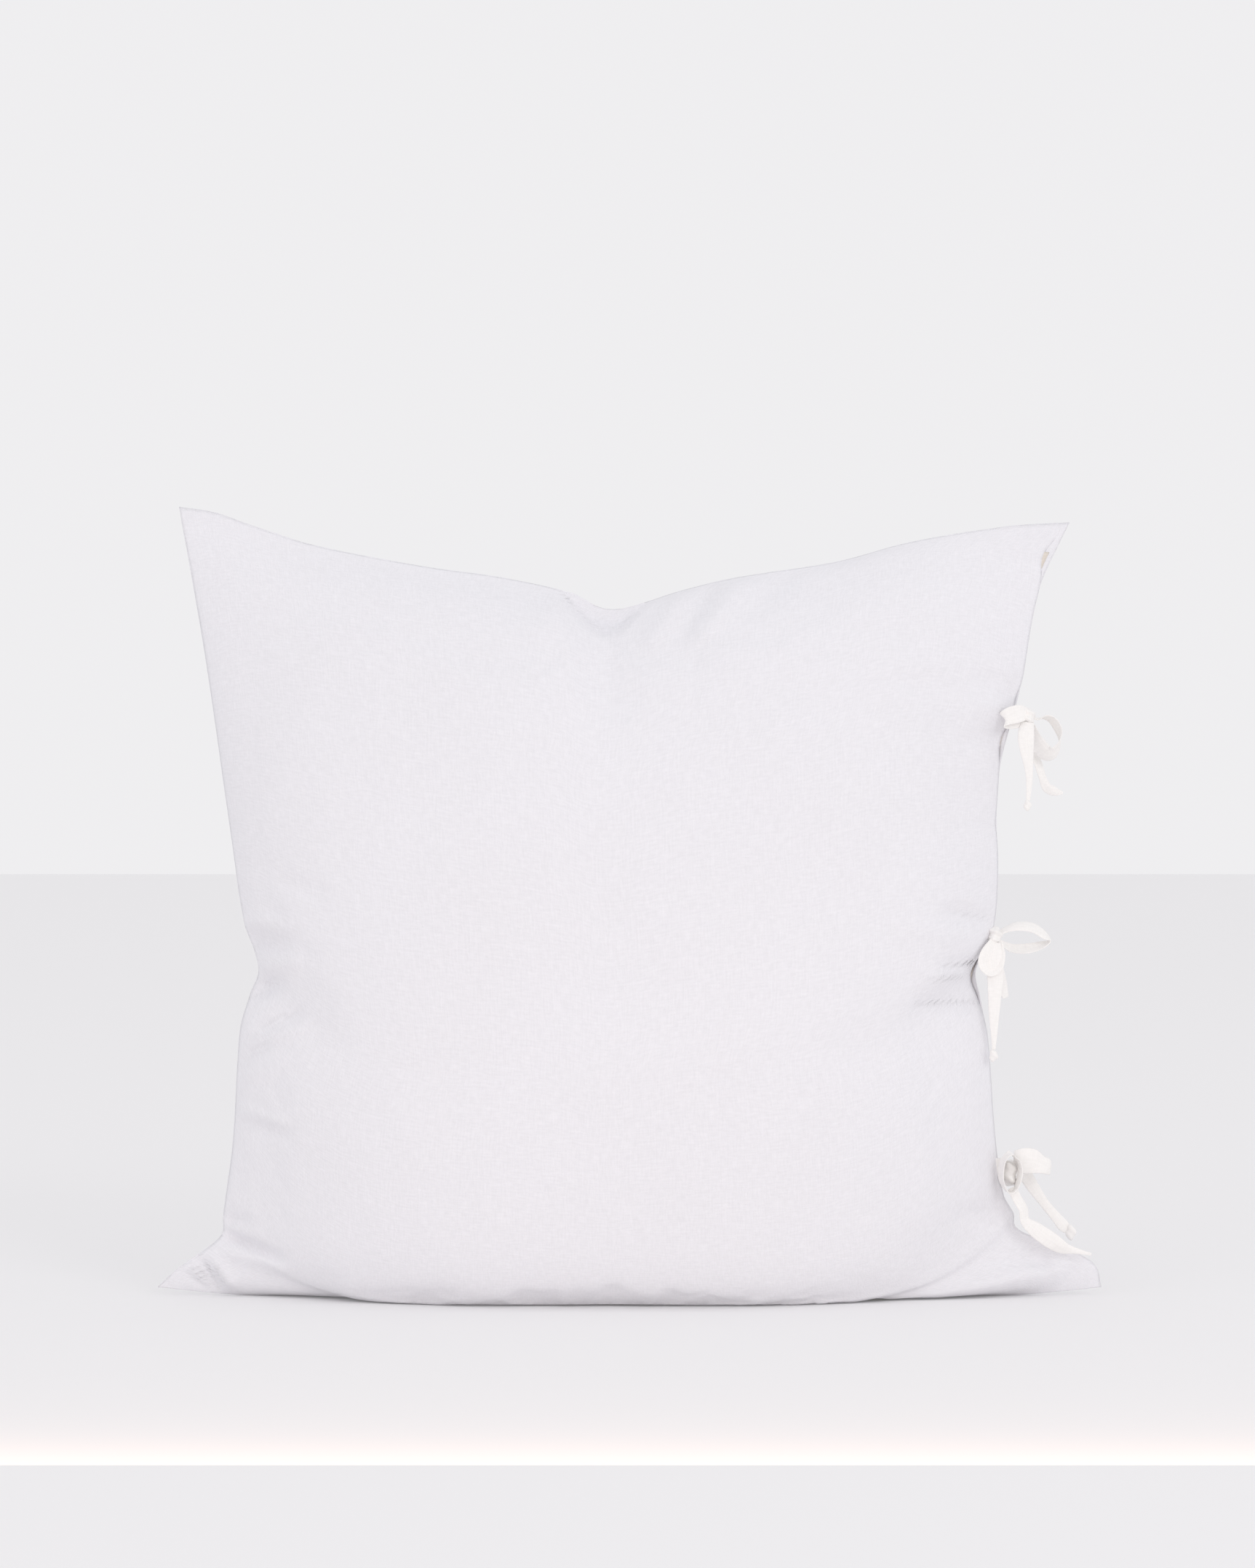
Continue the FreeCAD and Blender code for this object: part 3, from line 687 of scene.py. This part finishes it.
# Every path is in millimetres from its knot: reach, depth (minus is towards the front)
# and height.  Widths are in millimetres and leans in degrees.
BOWS = {
    "upper": {
        "front_loop": {
            "path": [(0, -8, 1), (-6, -13, 2), (-12, -15.5, 1), (-16.5, -15.5, -1),
                     (-17.5, -14, -3), (-15, -12.5, -4), (-9, -10.5, -4), (-2, -8, -3)],
            "widths": [7, 12, 13, 12, 11, 10, 9, 6],
            "leans": [6, 4, -4, -10, -14, -8, 0, 0],
            "upright": True},
        "back_loop": {
            "path": [(2, 1, 0), (7, 2, -1.5), (13, 2, -0.5), (18, 2, -3), (22, 2, -10),
                     (22.5, 2, -18), (19, 2, -25), (13, 2, -26), (6, 2, -18), (2, 1, -6)],
            "widths": [4, 6, 8, 10, 11, 12, 13, 13, 12, 7],
            "leans": [20, 14, -24, -30, -22, 10, 36, 56, 60, 50]},
        "front_tail": {
            "path": [(-1, -10, -4), (-2.5, -12, -13), (-2, -12.5, -24), (-0.5, -12.5, -38),
                     (-0.5, -12, -50), (-1.5, -12, -60)],
            "widths": [9, 12, 10, 6, 4, 2.6], "leans": [86, 84, 82, 80, 84, 88],
            "cup": 0.10, "knot": (-1.6, -12, -62.5), "knot_size": 2.8},
        "back_tail": {
            "path": [(2, 6, -10), (4, 12, -22), (8.5, 13, -33), (11.5, 13, -43),
                     (14.5, 13, -50), (19, 13, -52.5), (26, 13, -54)],
            "widths": [8, 9, 8, 6, 7, 7, 1.5], "leans": [64, 56, 48, 70, 96, 104, 80],
            "cup": 0.1},
    },
    "middle": {
        "front_loop": {
            "path": [(0, -8, -1), (-3, -12, -6), (-7.5, -15, -13), (-8.5, -15.5, -20),
                     (-5, -14.5, -25), (0, -13, -22), (2.5, -11, -14), (2, -8, -5)],
            "widths": [5, 8, 11, 12, 10, 10, 8, 5],
            "leans": [70, 66, 60, 52, 40, 44, 56, 60]},
        "back_loop": {
            "path": [(2, 1, 0), (8, 3, 4), (17, 4, 6.5), (27, 4, 5), (35, 4, 0),
                     (39, 4, -4), (33, 4, -7.5), (22, 4, -10), (11, 4, -9.5), (3, 2, -5)],
            "widths": [5, 8, 11, 12, 11, 9, 11, 12, 10, 6],
            "leans": [24, 30, 34, 34, 30, 0, -24, -32, -34, -30]},
        "front_tail": {
            "path": [(-1, -10, -5), (-1, -13, -16), (-1, -13.5, -27), (-1.5, -13.5, -42),
                     (-2, -13, -57), (-2, -12.5, -70), (-2.3, -12, -80)],
            "widths": [8, 11, 12.5, 10, 7.5, 4.5, 2.4],
            "leans": [86, 80, 78, 78, 80, 84, 88],
            "cup": 0.10, "knot": (-2.3, -12, -84), "knot_size": 3.4},
        "back_tail": {
            "path": [(1, 8, -8), (2, 13, -20), (4, 14, -31), (6.5, 14, -39),
                     (8.5, 14, -45)],
            "widths": [6, 9, 10, 9, 5], "leans": [80, 78, 74, 62, 56], "cup": 0.08},
    },
    "lower": {
        "front_loop": {
            "path": [(3, -8, 6), (-1, -12, 9.6), (-5.5, -13, 6), (-7.5, -13, -2),
                     (-6.5, -13, -11), (-2, -13, -17.5), (2.5, -13, -14), (5.2, -13, -5),
                     (5, -12, 3), (2, -9, 7)],
            "widths": [8, 11, 12, 12, 12, 12, 12, 12, 11, 8],
            "leans": [0, -6, -12, -14, -10, 0, 8, 12, 8, 0]},
        "back_loop": {
            "path": [(2, -3, 5), (8, -6, 4.5), (15, -6, 4), (22, -4, 1.5), (27.5, 0, -0.5),
                     (27, 5, -1), (16, 7, 1), (4, 4, 1)],
            "widths": [13, 18, 18, 13, 11.5, 11, 11, 9],
            "leans": [4, 2, -4, -10, 0, 6, 4, 0], "upright": True},
        "front_tail": {
            "path": [(0, -11, -14), (3.5, -13, -21), (8, -14, -29), (9, -14, -37),
                     (16, -14, -43), (26, -14, -50), (35, -13, -56), (43, -12, -58),
                     (56, -11, -61)],
            "widths": [6, 8, 10, 8, 11, 12, 10, 5, 1.5],
            "leans": [90, 60, 44, 62, 78, 84, 112, 96, 90], "cup": 0.08},
        "back_tail": {
            "path": [(6, 8, -4), (12, 13, -8), (18, 14, -17), (25, 14, -27),
                     (32.5, 14, -36), (39, 14, -43.5), (42, 14, -47)],
            "widths": [9, 10, 9, 7, 7.5, 9, 5], "leans": [80, 78, 78, 84, 78, 70, 84],
            "cup": 0.10, "knot": (44, 14, -48), "knot_size": 4.0},
    },
}

# The lower knot has slipped down and shows inside its front loop.
KNOTS = {"upper": (0, (0.0058, 0.0125, 0.0066)), "middle": (0, (0.0055, 0.0125, 0.0064)),
         "lower": (-0.0045, (0.0060, 0.0115, 0.0105))}

for tie, bow in BOWS.items():
    low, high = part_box(tie + "_tie_knot")
    knot = (Vector(low) + Vector(high)) / 2
    slip, half = KNOTS[tie]
    ball = knot_ball(tie + "_knot_ball", knot + Vector((-0.001, 0, slip)), half, len(tie))
    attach(ball, "cushion")
    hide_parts(tie + "_tie_knot")
    for face, side in (("front", -1), ("back", 1)):
        low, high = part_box(tie + "_tie_" + face + "_strap")
        level = (low[2] + high[2]) / 2
        points = [(low[0] - 0.004, side * 0.0018, level),
                  (low[0] + 0.003, side * 0.0022, level),
                  (high[0] - 0.001, side * 0.0036, level + 0.0006),
                  (knot.x - 0.0015, side * 0.0050, knot.z)]
        strap, length = ribbon(tie + "_" + face + "_strap", points,
                               [STRAP_WIDTH, STRAP_WIDTH, 0.009, 0.006],
                               [90, 90, 82, 70], 24)
        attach(strap, "cushion")
        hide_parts(tie + "_tie_" + face + "_strap")
    for part, cut in bow.items():
        points = [knot + Vector(point) * MM for point in cut["path"]]
        widths = [wide * MM for wide in cut["widths"]]
        tape, length = ribbon(tie + "_" + part, points, widths, cut["leans"], 56,
                              cut.get("cup", 0.06), cut.get("upright", False))
        if cut.get("knot"):
            end_knot(tape, knot + Vector(cut["knot"]) * MM, cut["knot_size"] * MM,
                     length * 90)
        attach(tape, tie + "_" + part)
        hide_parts(tie + "_tie_" + part)
